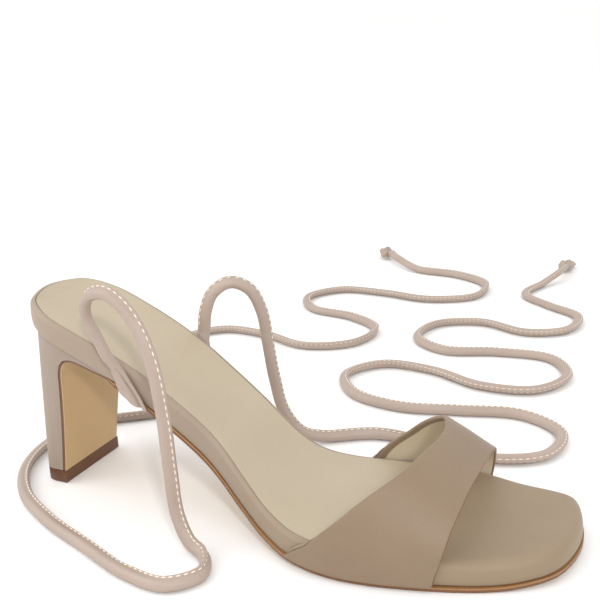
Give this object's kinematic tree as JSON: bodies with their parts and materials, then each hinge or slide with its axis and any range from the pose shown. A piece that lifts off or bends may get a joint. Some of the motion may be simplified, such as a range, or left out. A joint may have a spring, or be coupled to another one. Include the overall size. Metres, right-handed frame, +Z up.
{
  "type": "lace up heeled sandal",
  "caption": "Right heeled sandal with a square open toe, one wide asymmetric front strap, a padded footbed, a slab heel and two long ankle ties lying loose.",
  "frame": {"origin": "on the floor under the middle of the shoe's footprint, the two ties left out", "axes": "+X toward the toe, +Z up, the outer side of the foot toward -Y"},
  "size_m": [0.271, 0.4831, 0.1012],
  "materials": {
    "upper_taupe": "smooth matte",
    "tie_taupe": "smooth satin",
    "lining_cream": "smooth satin",
    "sole_tan": "smooth matte",
    "top_piece_brown": "satin"
  },
  "bodies": {
    "root": {"outsole": "sole_tan", "footbed": "upper_taupe", "sock_lining": "lining_cream", "front_strap": "upper_taupe", "heel_block": "upper_taupe", "top_piece": "top_piece_brown", "tie_tab_lateral": "tie_taupe", "tie_tab_medial": "tie_taupe", "tie_lateral": "tie_taupe", "tie_medial": "tie_taupe", "tie_knot_lateral": "tie_taupe", "tie_knot_medial": "tie_taupe"}
  },
  "joints": []
}
